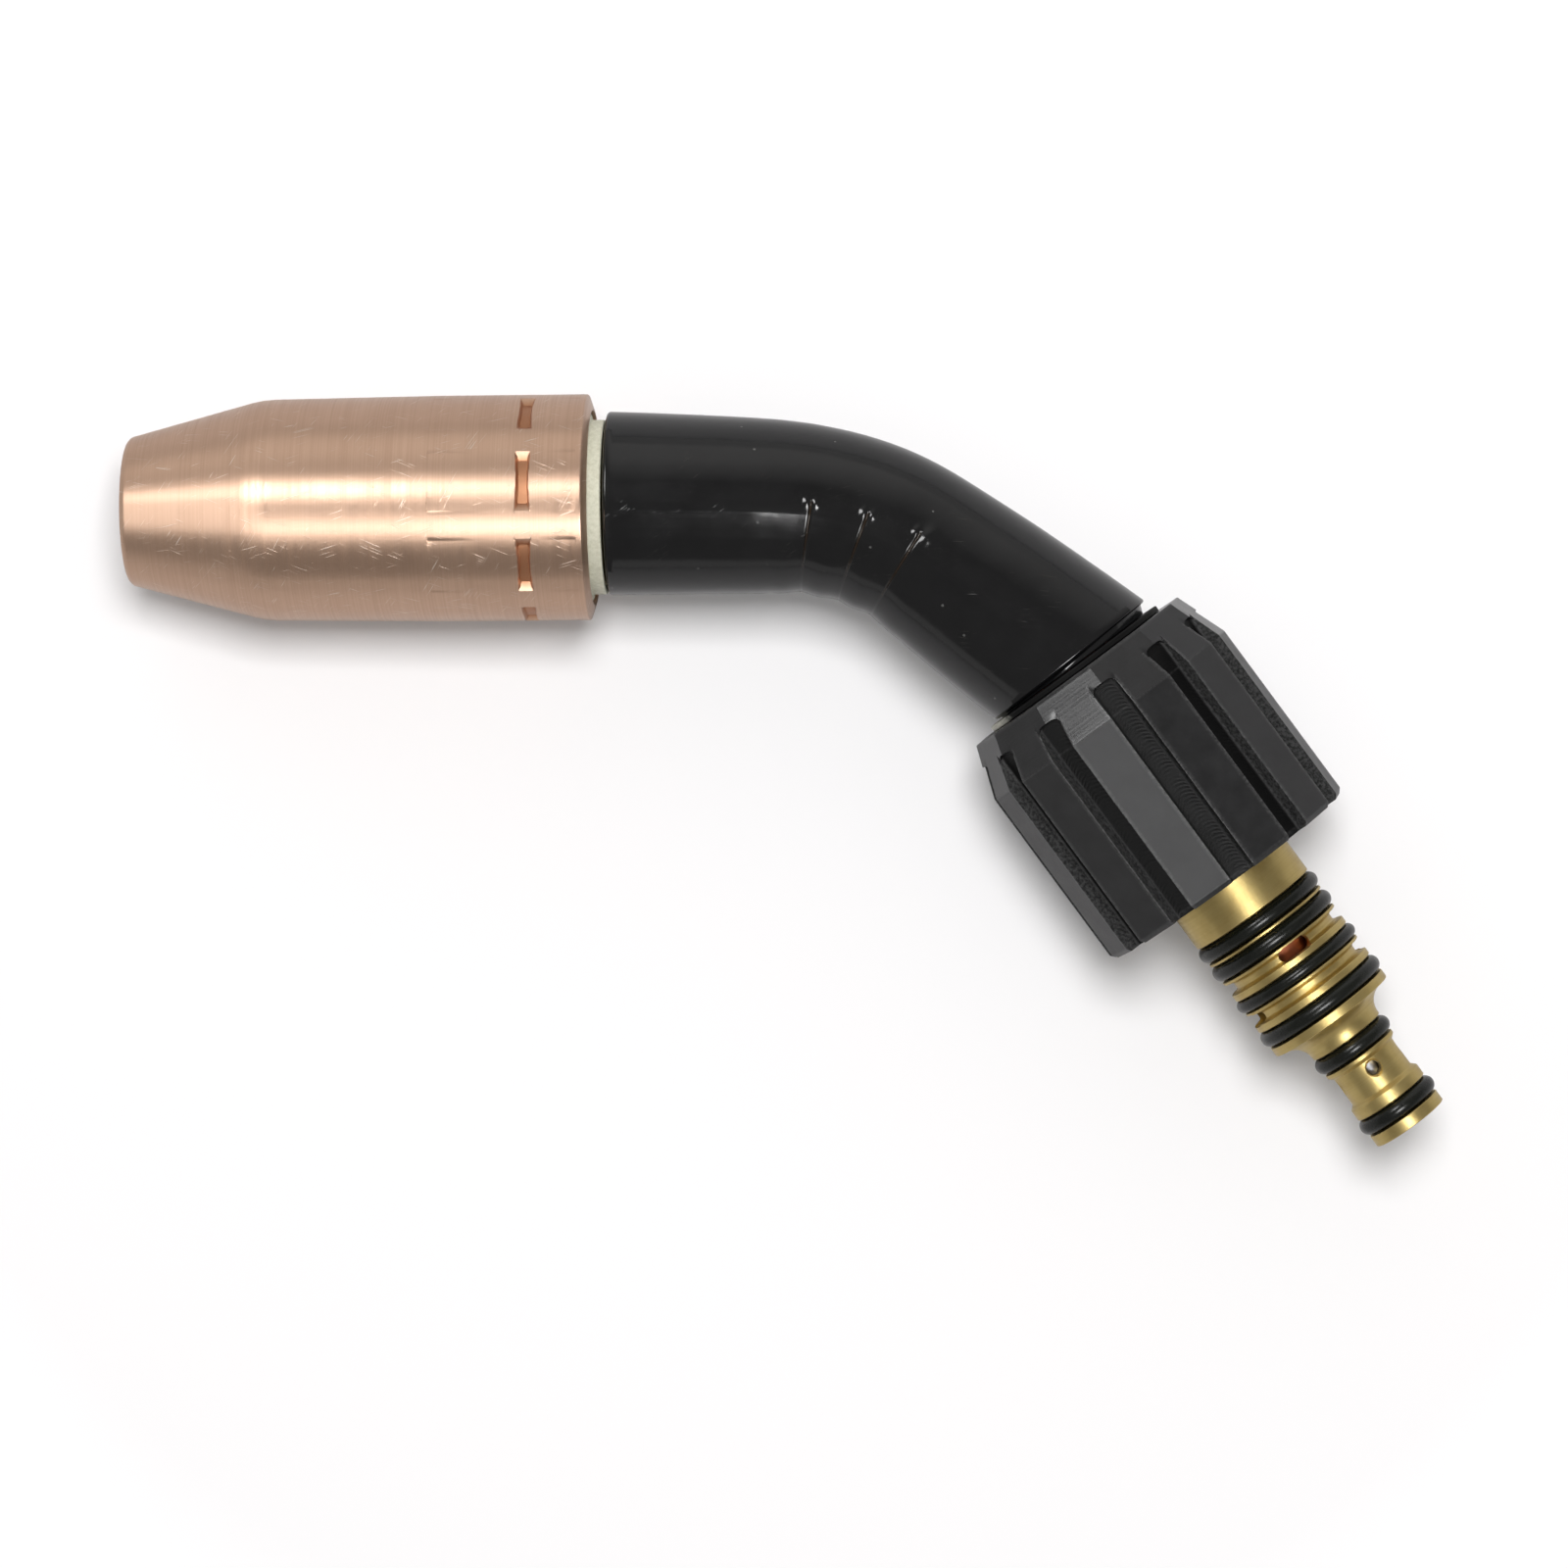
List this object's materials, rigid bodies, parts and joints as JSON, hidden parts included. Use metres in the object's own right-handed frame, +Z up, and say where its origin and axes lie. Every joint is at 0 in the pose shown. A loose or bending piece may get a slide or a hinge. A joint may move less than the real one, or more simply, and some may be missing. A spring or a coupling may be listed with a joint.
{
  "type": "mig welding torch",
  "caption": "Swan neck of a water-cooled MIG welding torch: copper gas nozzle, black insulated bend, union nut and brass quick-change plug with O-ring seals.",
  "frame": {"origin": "bottom centre of the box around the neck as it lies on a flat surface", "axes": "+X runs from the nozzle's mouth towards the bend, +Z is up, and the plug points towards +X and -Y"},
  "size_m": [0.1684, 0.0974, 0.0364],
  "materials": {
    "copper": "fine circumferential brushing on bare copper",
    "copper_tube": "drawn copper tube, slightly tarnished",
    "brass": "turned brass",
    "spring_steel": "spring steel",
    "zinc_plate": "zinc plated steel",
    "insulator": "cream glass-filled insulating plastic",
    "ceramic": "unglazed ceramic",
    "sleeve": "glossy black insulating sleeve",
    "nut_plastic": "matt black glass-filled plastic",
    "seal_rubber": "black nitrile rubber",
    "liner": "steel wire liner tube"
  },
  "bodies": {
    "neck": {"neck_head": "brass", "tip_holder": "brass", "contact_tip": "copper", "spatter_guard": "ceramic", "jacket_tube": "copper_tube", "water_divider_tube": "copper_tube", "conduit_tube": "copper_tube", "neck_liner": "liner", "neck_cover": "sleeve", "coupling_plug": "brass", "o_ring_1": "seal_rubber", "o_ring_2": "seal_rubber", "o_ring_3": "seal_rubber", "o_ring_4": "seal_rubber", "o_ring_5": "seal_rubber", "o_ring_6": "seal_rubber", "nut_washer": "zinc_plate"},
    "grip_ring": {"nozzle_grip_ring": "spring_steel"},
    "nozzle": {"gas_nozzle": "copper", "nozzle_insulator": "insulator", "nozzle_insert": "brass"},
    "snap_ring": {"nut_snap_ring": "spring_steel"},
    "nut": {"union_nut": "nut_plastic", "nut_thread_insert": "brass"}
  },
  "joints": [
    {"name": "nozzle_slide", "type": "slide", "parent": "neck", "child": "grip_ring", "axis": [-0.999, 0.0008, -0.0457], "range_m": [0, 0.02]},
    {"name": "nozzle_turn", "type": "hinge", "parent": "grip_ring", "child": "nozzle", "pos_m": [-0.08382, 0.0342, 0.01337], "axis": [0.999, -0.0008, 0.0457], "continuous": true},
    {"name": "nut_slide", "type": "slide", "parent": "neck", "child": "snap_ring", "axis": [0.5878, -0.809, 0], "range_m": [0, 0.0012]},
    {"name": "nut_spin", "type": "hinge", "parent": "snap_ring", "child": "nut", "pos_m": [0.03782, 0.01253, 0.01822], "axis": [0.5878, -0.809, 0], "continuous": true}
  ]
}
